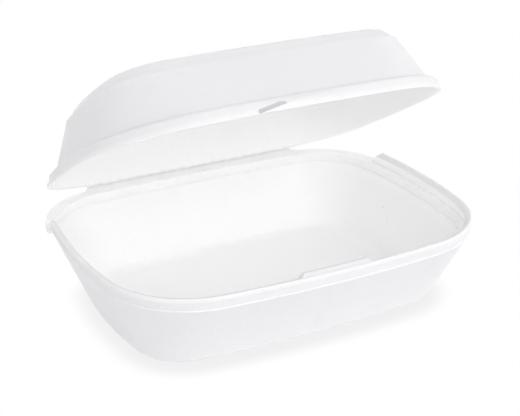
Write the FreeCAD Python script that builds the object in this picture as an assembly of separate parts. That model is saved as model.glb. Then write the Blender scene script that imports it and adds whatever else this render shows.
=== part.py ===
import FreeCAD, Part
import math
import os

from FreeCAD import Vector

# Foam clamshell container. A tray and a lid are formed from one sheet of foam
# and fold together along a creased web at the rear. All sizes in millimetres.
# X runs along the container, the front with the latch faces -Y, +Z is up, and
# the origin is on the face the tray rests on, below the widest point of its rim.
# Lid heights are given for the closed container, measured from the lid's rim.

sheet = 2.2                 # thickness of the foam
pose = 29.5                 # how far the lid stands open, in degrees

# Outline of the tray's rim, seen from above. Its sides are slightly bowed.
rim_length = 185.0
rim_front = 75.0            # from the widest point to the front edge
rim_rear = 72.0             # from the widest point to the rear edge
rim_front_corner = 42.0
rim_rear_corner = 36.5
front_bow = 5.3             # half angle of the front edge's arc, in degrees
rear_bow = 3.0
side_bow = 8.0

# Tray below the rim
foot_length = 152.0
foot_front = 51.5
foot_rear = 49.5
foot_corner = 23.0
foot_round = 9.0            # rounding where wall and bottom meet
ledge_height = 37.6         # the ledge the lid sits on, and the rear flange
ledge_width = 1.9
ledge_slope = 0.3           # the ledge falls inwards by this much
step_height = 5.4           # steep band between the wall and the ledge
step_undercut = 0.3         # the band's foot lies this far out past its top
shelf_rise = 0.8            # small sloped shelf at the band's foot
shelf_width = 1.6

# Collar that stands up around the front and the sides of the ledge
collar_height = 5.6
collar_foot = 1.2           # how far its outside stays inside the rim outline
collar_shoulder = 0.5       # narrow ridge on the outside, below the collar
collar_undercut = 0.4       # its inner face leans in over the lid's rim by this much
lip_width = 3.3             # from the rim outline to the collar's inner face
lip_edge = 1.9              # height of the trimmed edge
lip_curl = 0.5              # drop of the curl under the lip
lip_turn = 1.9              # rounded turn from the inner face to the lip
soft_edge = 0.5             # softened edge of the lip
collar_end = 38.0           # how far back the collar reaches
collar_ramp = 6.0           # length of the slope it ends in
rear_overhang = 0.8         # the rear flange stands out this far past the rim

# Creased web between the rear edges
hinge_length = 115.0
web_reach = 2.3             # from each flange to the crease
crease_sheet = 0.9          # thickness the foam is pressed to at the crease
crease_gap = 0.15           # from each half to the line they turn about
web_corner = 1.6

# Lid
nest_gap = 0.4              # around the lid's rim, inside the collar
nest_front_gap = 1.6        # the same along the front edge
lid_corner_extra = 11.0     # the lid's front corners are this much rounder
lid_flange_corner = 32.0    # rear corners of the lid's flat rear flange
lid_edge = 1.9              # height of the trimmed edge
lid_edge_lean = 0.3
rest_width = 1.3            # narrow face that sits on the ledge
flare_height = 6.3          # flared flange, from the rim to the wall
flare_top = 1.5             # its rounded top
flare_lean = 1.0
flare_side = 4.9
flare_front = 3.5
flare_rear = 3.0
lid_wall_front_corner = 45.5
lid_wall_rear_corner = 28.0
roof_length = 148.6         # where the wall meets the roof's shoulder
roof_front = 51.8
roof_rear = 54.7
roof_front_corner = 27.0
roof_rear_corner = 20.0
roof_line = 28.1            # height of the line below the shoulder
lid_height = 33.4
shoulder_in = 5.4
roof_set = 0.9              # small set-back above that line
roof_round = 4.5

# Latch: a tongue on the lid tucks in behind a pad on the tray's lip
tongue_height = 4.3
tongue_band = 1.8           # height of the band along the tongue's top edge
tongue_band_lean = 0.9
tongue_left = 24.4          # foot of the long slope at one end
tongue_left_top = 11.5
tongue_right = 12.2
tongue_right_top = 11.0
tongue_proud = 0.3
groove_deep = 1.5           # groove along the long slope, at its foot
groove_shallow = 0.2        # and at its top
pad_length = 34.6
pad_rise = 1.2
pad_reach = 0.9             # how far it reaches inwards past the collar
pad_end = 2.0

round_steps = 4             # narrow faces that make up a rounded edge
margin = 20.0               # cutting solids run this far past what they cut


def arc_sizes(half, depth, corner, bow):
    """Radii of the long and the short side's arcs in one quarter of an outline."""
    lean = math.radians(bow)
    tilt = math.radians(side_bow)
    across = half - corner * (math.cos(tilt) - math.sin(lean))
    along = depth - corner * (math.cos(lean) - math.sin(tilt))
    a, b = math.sin(lean), 1 - math.cos(tilt)
    c, d = 1 - math.cos(lean), math.sin(tilt)
    scale = a * d - b * c
    return (across * d - b * along) / scale, (a * along - across * c) / scale


def quarter(half, depth, corner, bow):
    """Ends and middle points of the arcs in one quarter, from mid long side to mid short side."""
    lean = math.radians(bow)
    tilt = math.radians(side_bow)
    long_radius, short_radius = arc_sizes(half, depth, corner, bow)
    first = Vector(long_radius * math.sin(lean), depth - long_radius * (1 - math.cos(lean)), 0)
    centre = first - Vector(math.sin(lean), math.cos(lean), 0) * corner
    middle = (lean + math.pi / 2 - tilt) / 2
    second = centre + Vector(math.sin(middle), math.cos(middle), 0) * corner
    third = centre + Vector(math.cos(tilt), math.sin(tilt), 0) * corner
    fourth = Vector(half - short_radius * (1 - math.cos(tilt / 2)), short_radius * math.sin(tilt / 2), 0)
    return first, second, third, fourth


def outline(shape, height):
    """Closed outline of ten arcs at a height; shape is half length, front, rear and two corners."""
    half, front, rear, front_corner, rear_corner = shape
    near = quarter(half, front, front_corner, front_bow)
    far = quarter(half, rear, rear_corner, rear_bow)

    def at(point, side, end):
        return Vector(point.x * side, point.y * end, height)

    edges = [Part.Arc(at(near[0], -1, -1), Vector(0, -front, height), at(near[0], 1, -1))]
    edges.append(Part.Arc(at(near[0], 1, -1), at(near[1], 1, -1), at(near[2], 1, -1)))
    edges.append(Part.Arc(at(near[2], 1, -1), at(near[3], 1, -1), Vector(half, 0, height)))
    edges.append(Part.Arc(Vector(half, 0, height), at(far[3], 1, 1), at(far[2], 1, 1)))
    edges.append(Part.Arc(at(far[2], 1, 1), at(far[1], 1, 1), at(far[0], 1, 1)))
    edges.append(Part.Arc(at(far[0], 1, 1), Vector(0, rear, height), at(far[0], -1, 1)))
    edges.append(Part.Arc(at(far[0], -1, 1), at(far[1], -1, 1), at(far[2], -1, 1)))
    edges.append(Part.Arc(at(far[2], -1, 1), at(far[3], -1, 1), Vector(-half, 0, height)))
    edges.append(Part.Arc(Vector(-half, 0, height), at(near[3], -1, -1), at(near[2], -1, -1)))
    edges.append(Part.Arc(at(near[2], -1, -1), at(near[1], -1, -1), at(near[0], -1, -1)))
    return Part.Wire([edge.toShape() for edge in edges])


def inset(shape, distance):
    """The same outline, moved inwards all round."""
    return tuple(size - distance for size in shape)


def between(low, high, share):
    """Outline at a share of the way from one outline to another."""
    return tuple(a + (b - a) * share for a, b in zip(low, high))


def stack(levels):
    """Solid through a list of outlines and heights, with straight walls between them."""
    return Part.makeLoft([outline(shape, height) for shape, height in levels], True, True)


def rounding(shape, height, radius, lean, side):
    """Levels of the rounded edge between a flat face and a wall that leans out from the vertical."""
    turn = math.pi / 2 - lean
    set_in = radius * math.tan(turn / 2)
    levels = []
    for step in range(round_steps + 1):
        angle = turn * step / round_steps
        levels.append((inset(shape, set_in - radius * math.sin(angle)),
                       height + side * radius * (1 - math.cos(angle))))
    return levels[::side]


def prism_along_x(points, low, high):
    """Prism between two X values from points given as Y and Z."""
    corners = [Vector(low, y, z) for y, z in points]
    return Part.Face(Part.makePolygon(corners + corners[:1])).extrude(Vector(high - low, 0, 0))


def prism_along_y(points, low, high):
    """Prism between two Y values from points given as X and Z."""
    corners = [Vector(x, low, z) for x, z in points]
    return Part.Face(Part.makePolygon(corners + corners[:1])).extrude(Vector(0, high - low, 0))


rim = (rim_length / 2, rim_front, rim_rear, rim_front_corner, rim_rear_corner)
foot = (foot_length / 2, foot_front, foot_rear, foot_corner, foot_corner)
lip_top = ledge_height + collar_height
nest = lip_width + nest_gap
lid_front = rim_front - lip_width - nest_front_gap
lid_front_corner = rim_front_corner - nest + lid_corner_extra
lid_rim = (rim_length / 2 - nest, lid_front, rim_rear - nest, lid_front_corner, rim_rear_corner - nest)
flange = inset(rim, -rear_overhang)
lid_rear = rim_rear + rear_overhang
lid_flange = (lid_rim[0], lid_front, lid_rear, lid_front_corner, lid_flange_corner)
hinge_y = rim_rear + rear_overhang + web_reach
hinge_z = ledge_height + crease_gap
lid_base = hinge_z + crease_gap
lid_wall = (lid_rim[0] - flare_side, lid_front - flare_front, lid_rim[2] - flare_rear,
            lid_wall_front_corner, lid_wall_rear_corner)
roof = (roof_length / 2, roof_front, roof_rear, roof_front_corner, roof_rear_corner)
reach = rim_length / 2 + margin
wall_lean = math.atan2(rim_front - foot_front, ledge_height)
shoulder_lean = math.atan2(shoulder_in - roof_set, lid_height - roof_line)


def behind(start, low, high):
    """Block that fills everything behind a Y value."""
    return Part.makeBox(2 * reach, hinge_y + margin - start, high - low, Vector(-reach, start, low))


def web(low, high, thin_side):
    """Half of the creased web: a strip that thins towards the crease."""
    inner = rim_rear - lip_width
    outer = hinge_y - crease_gap
    taper = rim_rear + rear_overhang
    if thin_side < 0:
        section = [(inner, high), (outer, high), (outer, high - crease_sheet), (taper, low), (inner, low)]
    else:
        section = [(inner, low), (outer, low), (outer, low + crease_sheet), (taper, high), (inner, high)]
    strip = prism_along_x(section, -hinge_length / 2 - web_corner, hinge_length / 2 + web_corner)
    for side in (-1, 1):
        centre = Vector(side * (hinge_length / 2 + web_corner), taper + web_corner, low - margin)
        strip = strip.cut(Part.makeCylinder(web_corner, high - low + 2 * margin, centre))
        start = hinge_length / 2 if side > 0 else -hinge_length / 2 - margin
        corner = Part.makeBox(margin, margin, high - low + 2 * margin,
                              Vector(start, taper + web_corner, low - margin))
        strip = strip.cut(corner)
    return strip


def tray_outside():
    """Outside of the tray with the collar all the way round."""
    curl_top = lip_top - lip_edge
    return stack(rounding(foot, 0, foot_round, wall_lean, 1) + [
        (inset(rim, collar_foot - collar_shoulder), ledge_height - collar_shoulder),
        (inset(rim, collar_foot), ledge_height),
        (inset(rim, collar_foot), curl_top - lip_curl),
        (rim, curl_top),
        (rim, lip_top - soft_edge),
        (inset(rim, soft_edge), lip_top),
    ])


def tray_inside():
    """Space inside the tray: floor, wall, steep band, ledge and collar."""
    ledge_in = lip_width + ledge_width
    step_low = ledge_height - step_height
    ledge_low = ledge_height - ledge_slope
    band_in = ledge_in - step_undercut
    floor = inset(foot, sheet * 1.1)
    return stack(rounding(floor, sheet, foot_round - sheet, wall_lean, 1) + [
        (inset(rim, band_in + shelf_width), step_low),
        (inset(rim, band_in), step_low + shelf_rise),
        (inset(rim, ledge_in), ledge_low),
        (inset(rim, lip_width - collar_undercut), ledge_height),
        (inset(rim, lip_width), lip_top - lip_turn),
        (inset(rim, lip_width - lip_turn / 2), lip_top - lip_turn / 3),
        (inset(rim, lip_width - lip_turn), lip_top),
        (inset(rim, lip_width - lip_turn), lip_top + margin),
    ])


def latch_pad():
    """Raised pad on the front lip that reaches inwards over the lid's tongue."""
    low = lip_top - lip_edge
    high = lip_top + pad_rise
    band = stack([(inset(rim, soft_edge), low), (inset(rim, soft_edge), lip_top - soft_edge),
                  (inset(rim, lip_turn), high - soft_edge), (inset(rim, lip_turn + soft_edge), high)])
    hollow = stack([(inset(rim, lip_width), low), (inset(rim, lip_width + pad_reach), lip_top - soft_edge),
                    (inset(rim, lip_width + pad_reach), high - soft_edge),
                    (inset(rim, lip_width + pad_reach - soft_edge), high)])
    half = pad_length / 2
    window = prism_along_y([(-half, low), (half, low), (half, lip_top), (half - pad_end, high),
                            (pad_end - half, high), (-half, lip_top)], -rim_front - margin, 0)
    return band.cut(hollow).common(window)


def tray():
    """Tray with collar, latch pad, flat rear flange and its half of the web."""
    body = tray_outside()
    rear = prism_along_x([(collar_end, ledge_height), (collar_end - collar_ramp, lip_top + margin / 40),
                          (collar_end - collar_ramp, lip_top + margin), (hinge_y + margin, lip_top + margin),
                          (hinge_y + margin, ledge_height)], -reach, reach)
    plate = stack([(flange, ledge_height - sheet), (flange, ledge_height)])
    plate = plate.common(behind(collar_end - collar_ramp / 3, ledge_height - sheet, ledge_height))
    body = body.cut(rear).fuse(plate).cut(tray_inside())
    body = body.fuse(latch_pad()).fuse(web(ledge_height - sheet, ledge_height, -1))
    return body.removeSplitter().Solids[0]


def lid_outside():
    """Outside of the closed lid: trimmed edge, flared flange, wall and roof."""
    line = lid_base + roof_line
    top = inset(roof, shoulder_in)
    return stack([
        (lid_rim, lid_base),
        (inset(lid_rim, lid_edge_lean), lid_base + lid_edge),
        (inset(lid_rim, flare_lean), lid_base + flare_height - flare_top),
        (between(inset(lid_rim, flare_lean), lid_wall, 0.4), lid_base + flare_height - flare_top / 4),
        (lid_wall, lid_base + flare_height),
        (roof, line),
        (inset(roof, roof_set), line + roof_set / 3),
    ] + rounding(top, lid_base + lid_height, roof_round, shoulder_lean, -1))


def lid_inside():
    """Space inside the closed lid."""
    line = lid_base + roof_line
    wall_in = sheet * 1.1
    top = inset(roof, shoulder_in + sheet / 3)
    return stack([
        (inset(lid_rim, rest_width), lid_base - margin),
        (inset(lid_rim, rest_width), lid_base),
        (inset(lid_wall, wall_in), lid_base + flare_height - sheet / 2),
        (inset(roof, wall_in), line - sheet / 3),
    ] + rounding(top, lid_base + lid_height - sheet, sheet, shoulder_lean, -1))


def tongue():
    """Tongue on the front of the lid's flange, with one long sloped end."""
    top = lid_base + tongue_height
    band = stack([(inset(lid_rim, -tongue_proud), lid_base),
                  (inset(lid_rim, -tongue_proud), top - tongue_band),
                  (inset(lid_rim, tongue_band_lean - tongue_proud), top)])
    hollow = stack([(inset(lid_rim, rest_width), lid_base - margin),
                    (inset(lid_rim, rest_width), lid_base),
                    (inset(lid_rim, rest_width + flare_front / 2), top),
                    (inset(lid_rim, rest_width + flare_front / 2), top + margin)])
    window = prism_along_y([(-tongue_left, lid_base), (tongue_right, lid_base), (tongue_right_top, top),
                            (-tongue_left_top, top), (-tongue_left, lid_base + tongue_band)],
                           -rim_front - margin, 0)
    return band.cut(hollow).common(window)


def tongue_groove():
    """Groove along the tongue's long slope, deepest at its foot."""
    front = -rim_front - margin
    ends = []
    for x, height, deep in ((-tongue_left, lid_edge, groove_deep),
                            (-tongue_left_top, tongue_height, groove_shallow)):
        back = deep - lid_front
        low = lid_base + height - tongue_band
        corners = [Vector(x, front, low), Vector(x, back, low), Vector(x, back, low + tongue_band),
                   Vector(x, front, low + tongue_band)]
        ends.append(Part.makePolygon(corners + corners[:1]))
    return Part.makeLoft(ends, True, True)


def lid():
    """Lid with tongue, flat rear flange and its half of the web, closed."""
    plate = stack([(lid_flange, lid_base), (inset(lid_flange, lid_edge_lean), lid_base + lid_edge),
                   (inset(lid_flange, flare_lean), lid_base + sheet)])
    plate = plate.common(behind(collar_end + nest_gap, lid_base, lid_base + sheet))
    body = lid_outside().fuse(plate).fuse(tongue()).cut(tongue_groove()).cut(lid_inside())
    return body.fuse(web(lid_base, lid_base + sheet, 1)).removeSplitter().Solids[0]


os.makedirs("parts", exist_ok=True)

tray().exportStep("parts/tray.step")

opened = lid()
opened.rotate(Vector(0, hinge_y, hinge_z), Vector(-1, 0, 0), pose)
opened.exportStep("parts/lid.step")
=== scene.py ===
import math

import bpy
from mathutils import Matrix, Quaternion, Vector


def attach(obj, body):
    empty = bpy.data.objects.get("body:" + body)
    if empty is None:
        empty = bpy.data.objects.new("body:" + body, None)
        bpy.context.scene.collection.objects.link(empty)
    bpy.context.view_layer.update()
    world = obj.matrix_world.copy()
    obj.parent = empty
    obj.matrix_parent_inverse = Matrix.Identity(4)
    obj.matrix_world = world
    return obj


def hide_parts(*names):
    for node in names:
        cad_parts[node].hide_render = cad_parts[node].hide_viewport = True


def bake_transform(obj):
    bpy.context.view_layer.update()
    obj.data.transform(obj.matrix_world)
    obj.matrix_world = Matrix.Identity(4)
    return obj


bl_info = {
    "name": "Foam clamshell container",
    "version": (1, 0, 0),
    "blender": (4, 5, 0),
    "location": "3D View > Sidebar > Foam box",
    "description": "Dresses a foam takeaway box: pressed skin, trimmed edges, ribbed crease, studio",
    "category": "Object",
}

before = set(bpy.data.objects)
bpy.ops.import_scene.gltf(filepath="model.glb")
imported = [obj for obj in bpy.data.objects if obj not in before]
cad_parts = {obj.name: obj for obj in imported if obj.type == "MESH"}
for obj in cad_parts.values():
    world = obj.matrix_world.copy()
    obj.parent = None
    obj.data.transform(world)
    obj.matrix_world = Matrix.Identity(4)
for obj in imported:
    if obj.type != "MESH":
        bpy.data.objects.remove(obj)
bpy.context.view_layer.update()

MM = 0.001
OPEN_ANGLE = math.radians(29.5)
HINGE = Vector((0, 75.1, 37.75)) * MM
HINGE_LENGTH = 115.0 * MM
CREASE_REACH = math.radians(104)
OUTSIDE = "extruded_polystyrene_foam_outside_skin"
INSIDE_PAINTED_LIGHT = "extruded_polystyrene_foam_inside_painted_light"
CUT_EDGE = "extruded_polystyrene_foam_die_cut_edge"
GROOVE_PAINTED_SHADE = "extruded_polystyrene_foam_groove_painted_shade"
LID_INSIDE_PAINTED_LIGHT = "extruded_polystyrene_foam_lid_inside_painted_light"
SCORCHED = "scorched_polystyrene_bead"

# Places on the closed box that tell which skin a face has: the cut edge, the inside faces that get brighter
# painted light, and the groove's back that gets darker painted shade
TRAY_CUTS = ((35.4 * MM, 37.6 * MM), (41.0 * MM, 43.0 * MM))
LID_CUTS = ((37.9 * MM, 40.0 * MM),)
LIP_FOOT = 41.2 * MM
FLANGE_TOP = 37.7 * MM
LID_RIM = 38.1 * MM
GROOVE_START = (-24.4 * MM, -68.6 * MM)
GROOVE_END = (-11.5 * MM, -69.9 * MM)
GROOVE_BAND = 0.12 * MM

# Details of the formed sheet that stay the same
WELD = 0.002 * MM
CREASE_CORE = 0.1 * MM
CREASE_STEPS = 12
BEAD_HALF_HEIGHT = 0.36 * MM
BEAD_HALF_WIDTH_SHARE = 0.28
OPEN_CELL = 0.7 * MM
OPEN_CELL_DEPTH = 0.12 * MM

# Name, azimuth and height in degrees, and share of the brightness. Most light comes low from the
# front and the front right, some from behind.
LAMPS = (
    ("front", 0, 10, 0.79),
    ("front_high", 0, 50, 0.60),
    ("front_right", 45, 15, 0.92),
    ("right", 90, 15, 0.42),
    ("front_left", -45, 15, 0.50),
    ("left", -90, 15, 0.50),
    ("rear", 180, 35, 0.55),
    ("rear_left", -135, 35, 0.12),
)


def linear(code):
    """Linear colour from an sRGB hex value."""
    parts = [int(code[i:i + 2], 16) / 255 for i in (0, 2, 4)]
    return tuple(c / 12.92 if c <= 0.04045 else ((c + 0.055) / 1.055) ** 2.4 for c in parts)


# Properties a user would change

class FoamFinishSettings(bpy.types.PropertyGroup):
    """Colour and texture of the foam."""
    skin_colour: bpy.props.FloatVectorProperty(
        name="Outside skin", description="Colour of the pressed skin on the outside",
        subtype="COLOR", size=3, min=0, max=1, default=linear("E8E8EA"))
    # Painted light: the inside skin is the same foam, painted brighter than the outside for the light that
    # fills the box
    inside_painted_light_colour: bpy.props.FloatVectorProperty(
        name="Inside skin", description="Colour of the pressed skin on the inside",
        subtype="COLOR", size=3, min=0, max=1, default=linear("FEFEFE"))
    edge_colour: bpy.props.FloatVectorProperty(
        name="Cut edge", description="Colour of the open cells along the trimmed edge",
        subtype="COLOR", size=3, min=0, max=1, default=linear("EAEAEB"))
    # Painted light: the lid's inside is the same foam, painted brighter than the outside
    lid_inside_painted_light_colour: bpy.props.FloatVectorProperty(
        name="Lid inside", description="Colour of the pressed skin inside the lid",
        subtype="COLOR", size=3, min=0, max=1, default=linear("F6F6F6"))
    # Painted shade: a darker grey copy of the skin for the back of the latch groove, where the slot lies in
    # shade
    groove_painted_shade_colour: bpy.props.FloatVectorProperty(
        name="Pressed foam", description="Colour of the foam pressed thin in the latch groove",
        subtype="COLOR", size=3, min=0, max=1, default=linear("C9C9CC"))
    speck_colour: bpy.props.FloatVectorProperty(
        name="Specks", description="Colour of the few tiny scorched beads",
        subtype="COLOR", size=3, min=0, max=1, default=linear("B9B7B4"))
    skin_roughness: bpy.props.FloatProperty(
        name="Skin roughness", description="How dull the pressed skin is",
        subtype="FACTOR", min=0, max=1, default=0.42)
    cell_size: bpy.props.FloatProperty(
        name="Cell size", description="Distance between the fine cells under the skin",
        unit="LENGTH", default=0.55 * MM)
    cell_depth: bpy.props.FloatProperty(
        name="Cell depth", description="How far the fine cells stand out",
        unit="LENGTH", default=0.09 * MM)
    wave_size: bpy.props.FloatProperty(
        name="Unevenness size", description="Length of the soft unevenness that forming leaves",
        unit="LENGTH", default=9.0 * MM)
    wave_depth: bpy.props.FloatProperty(
        name="Unevenness depth", description="Height of that unevenness",
        unit="LENGTH", default=0.08 * MM)
    glow_depth: bpy.props.FloatProperty(
        name="Glow depth", description="How far light sinks into the foam before it scatters back",
        unit="LENGTH", default=1.0 * MM)


class FoamShapeSettings(bpy.types.PropertyGroup):
    """Sizes of the details on the formed sheet."""
    smooth_angle: bpy.props.FloatProperty(
        name="Smoothing angle", description="Faces that meet at less than this are shaded as one",
        subtype="ANGLE", default=math.radians(40))
    edge_softness: bpy.props.FloatProperty(
        name="Edge softness", description="Radius of the soft look of the pressed edges",
        unit="LENGTH", default=0.25 * MM)
    rib_pitch: bpy.props.FloatProperty(
        name="Rib pitch", description="Distance between the fine ribs of the crease",
        unit="LENGTH", default=1.0 * MM)
    rib_height: bpy.props.FloatProperty(
        name="Rib height", description="How far the ribs stand out of the crease",
        unit="LENGTH", default=0.06 * MM)
    crease_radius: bpy.props.FloatProperty(
        name="Crease radius", description="From the line the lid turns about to the valleys between the ribs",
        unit="LENGTH", default=0.32 * MM)
    bead_length: bpy.props.FloatProperty(
        name="Bead length", description="Half length of the beads that cross the front of the fold",
        unit="LENGTH", default=0.8 * MM)
    speck_size: bpy.props.FloatProperty(
        name="Speck size", description="Radius of a scorched bead",
        unit="LENGTH", default=0.28 * MM)


class FoamStudioSettings(bpy.types.PropertyGroup):
    """Camera, lamps and floor."""
    lens: bpy.props.FloatProperty(
        name="Lens", description="Focal length of the camera in millimetres",
        default=84.77)
    distance: bpy.props.FloatProperty(
        name="Distance", description="From the camera to the point that it looks at",
        unit="LENGTH", default=0.571656)
    brightness: bpy.props.FloatProperty(
        name="Brightness", description="Strength of all the soft lamps together",
        min=0, default=1.15)
    spread: bpy.props.FloatProperty(
        name="Lamp spread", description="How wide each soft lamp looks from the object",
        subtype="ANGLE", default=math.radians(75))
    ambient: bpy.props.FloatProperty(
        name="Ambient light", description="Strength of the even light from all round",
        min=0, default=0.215)
    floor_light: bpy.props.FloatProperty(
        name="Floor light", description="Light that the lit floor adds from below",
        min=0, default=0.114)
    # Painted shadow: how far the darkening painted on the floor next to the box reaches
    painted_shadow_reach: bpy.props.FloatProperty(
        name="Shadow reach", description="How far the soft shadow spreads over the floor",
        unit="LENGTH", default=12.0 * MM)
    floor_colour: bpy.props.FloatVectorProperty(
        name="Floor", description="Colour of the floor",
        subtype="COLOR", size=3, min=0, max=1, default=linear("F2F2F2"))


# Materials

def node(tree, kind, settings=None, **links):
    """Add a shader node, set its plain inputs and properties, and link the rest."""
    made = tree.nodes.new(kind)
    for name, value in (settings or {}).items():
        if name in made.inputs:
            made.inputs[name].default_value = value
        else:
            setattr(made, name, value)
    for name, source in links.items():
        tree.links.new(source, made.inputs[name.replace("_", " ")])
    return made


def new_material(name):
    """Empty material with its output node."""
    material = bpy.data.materials.new(name)
    material.use_nodes = True
    tree = material.node_tree
    tree.nodes.clear()
    return material, tree, tree.nodes.new("ShaderNodeOutputMaterial")


def extruded_foam_skin(name, skin_colour, finish, shape):
    """Pressed skin of extruded polystyrene foam."""
    # Heated and pressed between two moulds, so the outer cells close to a satin skin. Fine cells
    # show through it as a grain that sparkles where a lamp is mirrored, and light sinks in a little.
    material, tree, output = new_material(name)
    place = node(tree, "ShaderNodeTexCoord")
    cells = node(tree, "ShaderNodeTexVoronoi",
                 {"feature": "SMOOTH_F1", "Scale": 1 / finish.cell_size, "Smoothness": 0.6},
                 Vector=place.outputs["Object"])
    grain = node(tree, "ShaderNodeTexNoise",
                 {"Scale": 0.8 / finish.cell_size, "Detail": 3.0, "Roughness": 0.6},
                 Vector=place.outputs["Object"])
    waves = node(tree, "ShaderNodeTexNoise",
                 {"Scale": 1 / finish.wave_size, "Detail": 2.0, "Roughness": 0.5},
                 Vector=place.outputs["Object"])
    rounded = node(tree, "ShaderNodeBevel", {"samples": 4, "Radius": shape.edge_softness})
    normal = rounded.outputs["Normal"]
    for height, depth in ((waves.outputs["Fac"], finish.wave_depth),
                          (grain.outputs["Fac"], finish.cell_depth),
                          (cells.outputs["Distance"], finish.cell_depth)):
        bump = node(tree, "ShaderNodeBump", {"Distance": depth, "Strength": 1.0},
                    Height=height, Normal=normal)
        normal = bump.outputs["Normal"]
    tone = node(tree, "ShaderNodeMapRange",
                {"From Min": 0.3, "From Max": 0.7, "To Min": 0.985, "To Max": 1.0},
                Value=grain.outputs["Fac"])
    colour = node(tree, "ShaderNodeMix", {"data_type": "RGBA", "blend_type": "MULTIPLY"})
    colour.inputs[0].default_value = 1.0
    colour.inputs[6].default_value = (*skin_colour, 1)
    tree.links.new(tone.outputs["Result"], colour.inputs[7])
    gloss = node(tree, "ShaderNodeMapRange",
                 {"From Min": 0.3, "From Max": 0.7, "To Min": finish.skin_roughness - 0.08,
                  "To Max": finish.skin_roughness + 0.08}, Value=waves.outputs["Fac"])
    skin = node(tree, "ShaderNodeBsdfPrincipled",
                {"IOR": 1.49, "Subsurface Weight": 1.0, "Subsurface Radius": (1.0, 1.0, 1.0),
                 "Subsurface Scale": finish.glow_depth},
                Base_Color=colour.outputs[2], Roughness=gloss.outputs["Result"], Normal=normal)
    tree.links.new(skin.outputs["BSDF"], output.inputs["Surface"])
    return material


def die_cut_foam_edge(finish):
    """Open cells where the sheet was cut out with a die."""
    # The blade cuts the cells open, so the edge is matt and a little rough, without the sheen.
    material, tree, output = new_material(CUT_EDGE)
    place = node(tree, "ShaderNodeTexCoord")
    cells = node(tree, "ShaderNodeTexVoronoi", {"Scale": 1 / OPEN_CELL},
                 Vector=place.outputs["Object"])
    bumps = node(tree, "ShaderNodeBump", {"Distance": OPEN_CELL_DEPTH, "Strength": 1.0},
                 Height=cells.outputs["Distance"])
    edge = node(tree, "ShaderNodeBsdfPrincipled",
                {"IOR": 1.49, "Roughness": 0.8, "Subsurface Weight": 1.0,
                 "Base Color": (*finish.edge_colour, 1),
                 "Subsurface Radius": (1.0, 1.0, 1.0), "Subsurface Scale": finish.glow_depth},
                Normal=bumps.outputs["Normal"])
    tree.links.new(edge.outputs["BSDF"], output.inputs["Surface"])
    return material


def scorched_bead(finish):
    """Tiny scorched beads of foam."""
    # Old polystyrene that overheated in the extruder and greyed, so it shows as a dull grey dot.
    material, tree, output = new_material(SCORCHED)
    place = node(tree, "ShaderNodeTexCoord")
    mottle = node(tree, "ShaderNodeTexNoise", {"Scale": 2 / finish.cell_size, "Detail": 2.0},
                  Vector=place.outputs["Object"])
    gloss = node(tree, "ShaderNodeMapRange", {"To Min": 0.4, "To Max": 0.6},
                 Value=mottle.outputs["Fac"])
    bead = node(tree, "ShaderNodeBsdfPrincipled",
                {"Base Color": (*finish.speck_colour, 1), "IOR": 1.49},
                Roughness=gloss.outputs["Result"])
    tree.links.new(bead.outputs["BSDF"], output.inputs["Surface"])
    return material


class FOAMBOX_OT_finish(bpy.types.Operator):
    """Make the foam materials"""
    bl_idname = "foambox.finish"
    bl_label = "Foam materials"

    def execute(self, context):
        finish = context.scene.foam_finish
        # The inside and lid-inside copies are painted brighter as painted light, and the groove copy is
        # painted darker as painted shade
        for name, colour in ((OUTSIDE, finish.skin_colour), (INSIDE_PAINTED_LIGHT, finish.inside_painted_light_colour),
                             (LID_INSIDE_PAINTED_LIGHT, finish.lid_inside_painted_light_colour),
                             (GROOVE_PAINTED_SHADE, finish.groove_painted_shade_colour)):
            extruded_foam_skin(name, colour, finish, context.scene.foam_shape)
        die_cut_foam_edge(finish)
        scorched_bead(finish)
        return {"FINISHED"}


# Shared steps for the pieces

def select_only(piece):
    """Make one object the only selected and the active one."""
    bpy.ops.object.select_all(action="DESELECT")
    piece.select_set(True)
    bpy.context.view_layer.objects.active = piece


def merged_copy(source_name, piece_name, shape):
    """Copy of a formed part with its triangles joined and its curved walls shaded smoothly."""
    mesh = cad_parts[source_name].data.copy()
    mesh.name = piece_name
    piece = bpy.data.objects.new(piece_name, mesh)
    bpy.context.scene.collection.objects.link(piece)
    mesh.materials.clear()
    select_only(piece)
    if mesh.has_custom_normals:
        bpy.ops.mesh.customdata_custom_splitnormals_clear()
    bpy.ops.object.mode_set(mode="EDIT")
    bpy.ops.mesh.select_all(action="SELECT")
    bpy.ops.mesh.remove_doubles(threshold=WELD)
    bpy.ops.mesh.dissolve_degenerate(threshold=WELD)
    bpy.ops.object.mode_set(mode="OBJECT")
    bpy.ops.object.shade_smooth_by_angle(angle=shape.smooth_angle)
    weights = piece.modifiers.new("even shading", "WEIGHTED_NORMAL")
    weights.keep_sharp = True
    bpy.ops.object.modifier_apply(modifier=weights.name)
    return piece


def closed(point):
    """Where a point of the open lid lies when the lid is closed."""
    turn = Matrix.Rotation(OPEN_ANGLE, 3, "X")
    return turn @ (point - HINGE) + HINGE


def mark_cut_edges(piece, place, cuts):
    """Give the cut-edge material to outward side faces between pairs of heights."""
    for face in piece.data.polygons:
        centre, normal = place(face)
        outward = normal.x * centre.x + normal.y * centre.y > 0
        if outward and abs(normal.z) < 0.3 and any(low < centre.z < high for low, high in cuts):
            face.material_index = piece.data.materials.find(CUT_EDGE)


def as_made(face):
    """Centre and normal of a face."""
    return face.center, face.normal


def as_closed(face):
    """Centre and normal of a face of the lid when the lid is closed."""
    return closed(face.center), Matrix.Rotation(OPEN_ANGLE, 3, "X") @ face.normal


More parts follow.
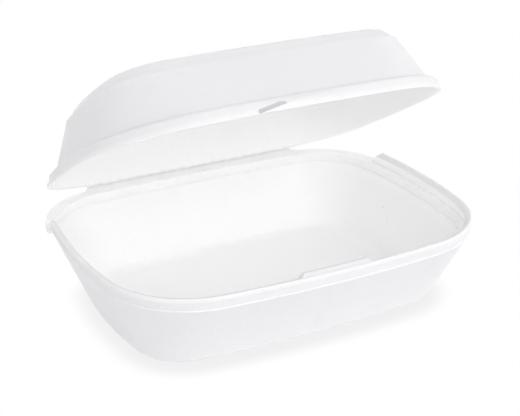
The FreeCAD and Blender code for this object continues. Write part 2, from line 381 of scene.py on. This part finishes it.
class FOAMBOX_OT_tray(bpy.types.Operator):
    """Dress the tray in foam skin with a trimmed edge"""
    bl_idname = "foambox.tray"
    bl_label = "Tray"

    def execute(self, context):
        piece = merged_copy("tray", "tray_foam", context.scene.foam_shape)
        for name in (OUTSIDE, CUT_EDGE, INSIDE_PAINTED_LIGHT):
            piece.data.materials.append(bpy.data.materials[name])
        mark_cut_edges(piece, as_made, TRAY_CUTS)
        # Painted light: faces inside the tray and on the flange's top get the brighter inside copy of the
        # skin
        for face in piece.data.polygons:
            inward = face.normal.x * face.center.x + face.normal.y * face.center.y < 0
            upward = face.normal.z > 0.9
            if (inward and face.center.z < LIP_FOOT) or (upward and face.center.z < FLANGE_TOP):
                face.material_index = piece.data.materials.find(INSIDE_PAINTED_LIGHT)
        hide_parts("tray")
        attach(piece, "tray")
        return {"FINISHED"}


class FOAMBOX_OT_lid(bpy.types.Operator):
    """Dress the lid in foam skin with a trimmed edge"""
    bl_idname = "foambox.lid"
    bl_label = "Lid"

    def execute(self, context):
        piece = merged_copy("lid", "lid_foam", context.scene.foam_shape)
        for name in (OUTSIDE, CUT_EDGE, INSIDE_PAINTED_LIGHT, GROOVE_PAINTED_SHADE, LID_INSIDE_PAINTED_LIGHT):
            piece.data.materials.append(bpy.data.materials[name])
        mark_cut_edges(piece, as_closed, LID_CUTS)
        skins = piece.data.materials
        # Painted light: faces inside the lid get the brighter inside copies of the skin
        for face in piece.data.polygons:
            centre, normal = as_closed(face)
            inward = normal.x * centre.x + normal.y * centre.y < 0
            if normal.z < -0.9 and centre.z < LID_RIM:
                face.material_index = skins.find(INSIDE_PAINTED_LIGHT)
            elif normal.z < -0.5 or (inward and normal.z < 0.3):
                face.material_index = skins.find(LID_INSIDE_PAINTED_LIGHT)
            # Painted shade: the groove's back, which the latch's long slope runs along, gets a darker grey
            # copy of the skin
            along = (centre.x - GROOVE_START[0]) / (GROOVE_END[0] - GROOVE_START[0])
            back = GROOVE_START[1] + along * (GROOVE_END[1] - GROOVE_START[1])
            if 0 < along < 1 and abs(centre.y - back) < GROOVE_BAND:
                face.material_index = skins.find(GROOVE_PAINTED_SHADE)
        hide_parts("lid")
        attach(piece, "lid")
        return {"FINISHED"}


class FOAMBOX_OT_crease(bpy.types.Operator):
    """Model the ribbed crease that joins the tray and the lid"""
    bl_idname = "foambox.crease"
    bl_label = "Crease"

    def execute(self, context):
        shape = context.scene.foam_shape
        piece = self.one_rib(shape)
        self.turn_about_hinge(piece)
        self.add_bead_in_fold(piece, shape)
        self.repeat_ribs(piece, shape)
        # The crease gets the brighter inside copy of the skin, as painted light
        piece.data.materials.append(bpy.data.materials[INSIDE_PAINTED_LIGHT])
        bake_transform(piece)
        return {"FINISHED"}

    def one_rib(self, shape):
        """Flat strip one rib long, from the hinge line outwards, raised in the middle of its edge."""
        bpy.ops.object.select_all(action="DESELECT")
        bpy.ops.mesh.primitive_grid_add(x_subdivisions=4, y_subdivisions=1, size=1, location=(0, 0, 0))
        piece = bpy.context.object
        piece.name = "crease_ribs"
        piece.data.name = "crease_ribs"
        bpy.ops.object.mode_set(mode="EDIT")
        bpy.ops.mesh.select_all(action="SELECT")
        bpy.ops.transform.resize(value=(shape.rib_pitch, shape.crease_radius - CREASE_CORE, 1),
                                 center_override=(0, 0, 0))
        bpy.ops.transform.translate(value=(0, (shape.crease_radius + CREASE_CORE) / 2, 0))
        bpy.ops.mesh.select_all(action="DESELECT")
        bpy.ops.object.mode_set(mode="OBJECT")
        for vertex in piece.data.vertices:
            outer = vertex.co.y > CREASE_CORE * 2
            vertex.select = outer and abs(vertex.co.x) < shape.rib_pitch * 0.3
        bpy.ops.object.mode_set(mode="EDIT")
        bpy.ops.transform.translate(value=(0, shape.rib_height, 0))
        bpy.ops.object.mode_set(mode="OBJECT")
        return piece

    def turn_about_hinge(self, piece):
        """Turn the strip about the hinge line from inside the tray's edge to inside the lid's."""
        bpy.ops.object.mode_set(mode="EDIT")
        bpy.ops.mesh.select_all(action="SELECT")
        bpy.ops.transform.translate(value=HINGE)
        bpy.ops.transform.rotate(value=-CREASE_REACH, orient_axis="X", center_override=HINGE)
        bpy.ops.mesh.spin(steps=CREASE_STEPS, angle=2 * CREASE_REACH - OPEN_ANGLE, center=HINGE,
                          axis=(1, 0, 0))
        bpy.ops.object.mode_set(mode="OBJECT")

    def add_bead_in_fold(self, piece, shape):
        """Flattened bead across the front of the fold, half way between the tray and the lid."""
        bpy.ops.object.select_all(action="DESELECT")
        bpy.ops.mesh.primitive_ico_sphere_add(subdivisions=2, radius=1, location=(0, 0, 0))
        bead = bpy.context.object
        bpy.ops.object.mode_set(mode="EDIT")
        bpy.ops.mesh.select_all(action="SELECT")
        bpy.ops.transform.resize(value=(shape.rib_pitch * BEAD_HALF_WIDTH_SHARE, shape.bead_length,
                                        BEAD_HALF_HEIGHT), center_override=(0, 0, 0))
        bpy.ops.transform.translate(value=(0, -shape.bead_length, 0))
        bpy.ops.transform.rotate(value=-OPEN_ANGLE / 2, orient_axis="X",
                                 center_override=(0, 0, 0))
        bpy.ops.transform.translate(value=HINGE)
        bpy.ops.object.mode_set(mode="OBJECT")
        bpy.ops.object.shade_smooth()
        piece.select_set(True)
        bpy.context.view_layer.objects.active = piece
        bpy.ops.object.join()
        bpy.ops.object.mode_set(mode="EDIT")
        bpy.ops.mesh.select_all(action="DESELECT")
        bpy.ops.object.mode_set(mode="OBJECT")

    def repeat_ribs(self, piece, shape):
        """Repeat the rib along the crease without walls between the ribs, and close both ends."""
        half = shape.rib_pitch / 2
        for face in piece.data.polygons:
            face.select = abs(abs(face.center.x) - half) < half * 0.01
        bpy.ops.object.mode_set(mode="EDIT")
        bpy.ops.mesh.delete(type="FACE")
        bpy.ops.mesh.select_all(action="SELECT")
        bpy.ops.transform.translate(value=(half - HINGE_LENGTH / 2, 0, 0))
        bpy.ops.object.mode_set(mode="OBJECT")
        row = piece.modifiers.new("ribs", "ARRAY")
        row.use_relative_offset = False
        row.use_constant_offset = True
        row.constant_offset_displace = (shape.rib_pitch, 0, 0)
        row.count = round(HINGE_LENGTH / shape.rib_pitch)
        row.use_merge_vertices = True
        row.merge_threshold = 0.01 * MM
        bpy.ops.object.modifier_apply(modifier=row.name)
        bpy.ops.object.mode_set(mode="EDIT")
        bpy.ops.mesh.select_all(action="SELECT")
        bpy.ops.mesh.fill_holes(sides=0)
        bpy.ops.mesh.normals_make_consistent(inside=False)
        bpy.ops.object.mode_set(mode="OBJECT")
        bpy.ops.object.shade_smooth_by_angle(angle=shape.smooth_angle)


class FOAMBOX_OT_specks(bpy.types.Operator):
    """Place the few scorched beads that show in the foam"""
    bl_idname = "foambox.specks"
    bl_label = "Specks"

    # Body, size against the usual one, and the place in millimetres with the box open
    SPOTS = (
        ("lid", 0.9, (68.45, 60.99, 62.50)),
        ("lid", 0.8, (70.04, 59.54, 62.67)),
        ("lid", 0.9, (35.97, -38.71, 114.99)),
        ("tray", 1.2, (80.87, 16.79, 20.51)),
        ("tray", 1.0, (79.67, 10.90, 16.58)),
    )

    def execute(self, context):
        size = context.scene.foam_shape.speck_size
        for number, (body, share, spot) in enumerate(self.SPOTS):
            self.add_bead("speck_%d" % (number + 1), body, share * size, Vector(spot) * MM)
        return {"FINISHED"}

    def add_bead(self, name, body, size, spot):
        """Flattened bead, sunk into the surface next to a place."""
        foam = bpy.data.objects[body + "_foam"]
        found, place, normal, _ = foam.closest_point_on_mesh(spot)
        if not found:
            raise RuntimeError("no foam next to " + name)
        bpy.ops.object.select_all(action="DESELECT")
        bpy.ops.mesh.primitive_ico_sphere_add(subdivisions=2, radius=size, location=(0, 0, 0))
        bead = bpy.context.object
        bead.name = name
        bead.data.name = name
        bpy.ops.object.mode_set(mode="EDIT")
        bpy.ops.mesh.select_all(action="SELECT")
        bpy.ops.transform.resize(value=(1, 0.8, 0.3), center_override=(0, 0, 0))
        bpy.ops.object.mode_set(mode="OBJECT")
        turn = normal.to_track_quat("Z", "Y").to_matrix().to_4x4()
        bead.data.transform(Matrix.Translation(place) @ turn)
        bpy.ops.object.shade_smooth()
        bead.data.materials.append(bpy.data.materials[SCORCHED])
        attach(bead, body)


# Studio

def direction(azimuth, height):
    """Unit vector away from the object; azimuth 0 is the front and turns towards +X."""
    return Vector((math.sin(azimuth) * math.cos(height), -math.cos(azimuth) * math.cos(height),
                   math.sin(height)))


def soft_lamp(name, azimuth, height, spread, strength):
    """Wide soft lamp far away in a direction."""
    away = direction(azimuth, height)
    data = bpy.data.lights.new(name, "SUN")
    data.energy = strength
    data.angle = spread
    lamp = bpy.data.objects.new(name, data)
    lamp.location = away
    lamp.rotation_euler = (-away).to_track_quat("-Z", "Y").to_euler()
    bpy.context.scene.collection.objects.link(lamp)


def seen_directly(tree):
    """1 for what the camera sees, also by a reflection or through a clear thing, and 0 for light."""
    path = node(tree, "ShaderNodeLightPath")
    seen = path.outputs["Is Camera Ray"]
    for other in ("Is Glossy Ray", "Is Transmission Ray"):
        larger = node(tree, "ShaderNodeMath", {"operation": "MAXIMUM"})
        tree.links.new(seen, larger.inputs[0])
        tree.links.new(path.outputs[other], larger.inputs[1])
        seen = larger.outputs[0]
    return seen


def light_and_show(tree, output, lighting, picture):
    """Light the object with one shader and show the camera another."""
    seen = node(tree, "ShaderNodeMixShader", Fac=seen_directly(tree))
    tree.links.new(lighting.outputs[0], seen.inputs[1])
    tree.links.new(picture.outputs[0], seen.inputs[2])
    tree.links.new(seen.outputs[0], output.inputs["Surface"])


class FOAMBOX_OT_studio(bpy.types.Operator):
    """Set up the floor, the even light, the lamps and the camera"""
    bl_idname = "foambox.studio"
    bl_label = "Studio"

    def execute(self, context):
        scene = context.scene
        studio = scene.foam_studio
        scene.view_settings.view_transform = "Standard"
        scene.cycles.max_bounces = 24
        scene.cycles.diffuse_bounces = 16
        self.add_floor(studio)
        self.add_background(scene, studio)
        self.add_lamps(studio)
        self.add_camera(scene, studio)
        return {"FINISHED"}

    def add_floor(self, studio):
        """Pale floor: its card lights the object, and the camera sees white with a painted shadow, darker
        next to the foot.
        """
        bpy.ops.object.select_all(action="DESELECT")
        bpy.ops.mesh.primitive_plane_add(size=8.0, location=(0, 0, 0))
        floor = bpy.context.object
        floor.name = "floor"
        material, tree, output = new_material("pale_studio_floor")
        card = node(tree, "ShaderNodeBsdfDiffuse", {"Color": (*studio.floor_colour, 1)})
        # Painted light: the floor glows a little, which adds light from below
        bounce = node(tree, "ShaderNodeEmission",
                      {"Color": (1, 1, 1, 1), "Strength": studio.floor_light})
        lit = node(tree, "ShaderNodeAddShader")
        tree.links.new(card.outputs[0], lit.inputs[0])
        tree.links.new(bounce.outputs[0], lit.inputs[1])
        # Painted shadow: ambient occlusion darkens the white that the camera sees next to the box
        near = node(tree, "ShaderNodeAmbientOcclusion",
                    {"samples": 16, "Distance": studio.painted_shadow_reach})
        painted_shadow_strength = node(tree, "ShaderNodeMapRange",
                     {"interpolation_type": "SMOOTHSTEP", "From Min": 0.3, "From Max": 0.97,
                      "To Min": 0.87, "To Max": 1.0}, Value=near.outputs["AO"])
        white = node(tree, "ShaderNodeEmission", {"Color": (1, 1, 1, 1)},
                     Strength=painted_shadow_strength.outputs["Result"])
        light_and_show(tree, output, lit, white)
        floor.data.materials.append(material)

    def add_background(self, scene, studio):
        """Even light from all round, with white behind the object."""
        world = bpy.data.worlds.new("pale_studio")
        scene.world = world
        world.use_nodes = True
        tree = world.node_tree
        tree.nodes.clear()
        output = tree.nodes.new("ShaderNodeOutputWorld")
        even = node(tree, "ShaderNodeBackground",
                    {"Color": (1, 1, 1, 1), "Strength": studio.ambient * studio.brightness})
        white = node(tree, "ShaderNodeBackground", {"Color": (1, 1, 1, 1), "Strength": 1.0})
        light_and_show(tree, output, even, white)

    def add_lamps(self, studio):
        """Wide soft lamps all round the object."""
        for name, azimuth, height, share in LAMPS:
            soft_lamp(name, math.radians(azimuth), math.radians(height), studio.spread,
                      share * studio.brightness)

    def add_camera(self, scene, studio):
        """Camera at the photograph's angle."""
        azimuth = math.radians(-27.054)
        height = math.radians(23.491)
        roll = math.radians(-0.634)
        target = Vector((-0.002, -2.326, 44.096)) * MM
        back = direction(azimuth, height)
        data = bpy.data.cameras.new("camera")
        data.sensor_width = 36.0
        data.lens = studio.lens
        data.clip_start = 0.01
        camera = bpy.data.objects.new("camera", data)
        camera.location = target + back * studio.distance
        level = (-back).to_track_quat("-Z", "Y")
        camera.rotation_mode = "QUATERNION"
        camera.rotation_quaternion = level @ Quaternion((0, 0, 1), roll)
        scene.collection.objects.link(camera)
        scene.camera = camera


class FOAMBOX_PT_panel(bpy.types.Panel):
    """Buttons and settings for the foam box"""
    bl_idname = "FOAMBOX_PT_panel"
    bl_label = "Foam box"
    bl_space_type = "VIEW_3D"
    bl_region_type = "UI"
    bl_category = "Foam box"

    def draw(self, context):
        for group in (context.scene.foam_finish, context.scene.foam_shape, context.scene.foam_studio):
            column = self.layout.column()
            for name in group.__annotations__:
                column.prop(group, name)
        for operator in OPERATORS:
            self.layout.operator(operator.bl_idname)


SETTINGS = (FoamFinishSettings, FoamShapeSettings, FoamStudioSettings)
OPERATORS = (FOAMBOX_OT_finish, FOAMBOX_OT_tray, FOAMBOX_OT_lid, FOAMBOX_OT_crease,
             FOAMBOX_OT_specks, FOAMBOX_OT_studio)


def register():
    for item in SETTINGS + OPERATORS + (FOAMBOX_PT_panel,):
        bpy.utils.register_class(item)
    bpy.types.Scene.foam_finish = bpy.props.PointerProperty(type=FoamFinishSettings)
    bpy.types.Scene.foam_shape = bpy.props.PointerProperty(type=FoamShapeSettings)
    bpy.types.Scene.foam_studio = bpy.props.PointerProperty(type=FoamStudioSettings)


def unregister():
    del bpy.types.Scene.foam_studio
    del bpy.types.Scene.foam_shape
    del bpy.types.Scene.foam_finish
    for item in reversed(SETTINGS + OPERATORS + (FOAMBOX_PT_panel,)):
        bpy.utils.unregister_class(item)


def main():
    """Build every piece in order."""
    register()
    bpy.ops.foambox.finish()
    bpy.ops.foambox.tray()
    bpy.ops.foambox.lid()
    bpy.ops.foambox.crease()
    bpy.ops.foambox.specks()
    bpy.ops.foambox.studio()


if __name__ == "__main__":
    main()
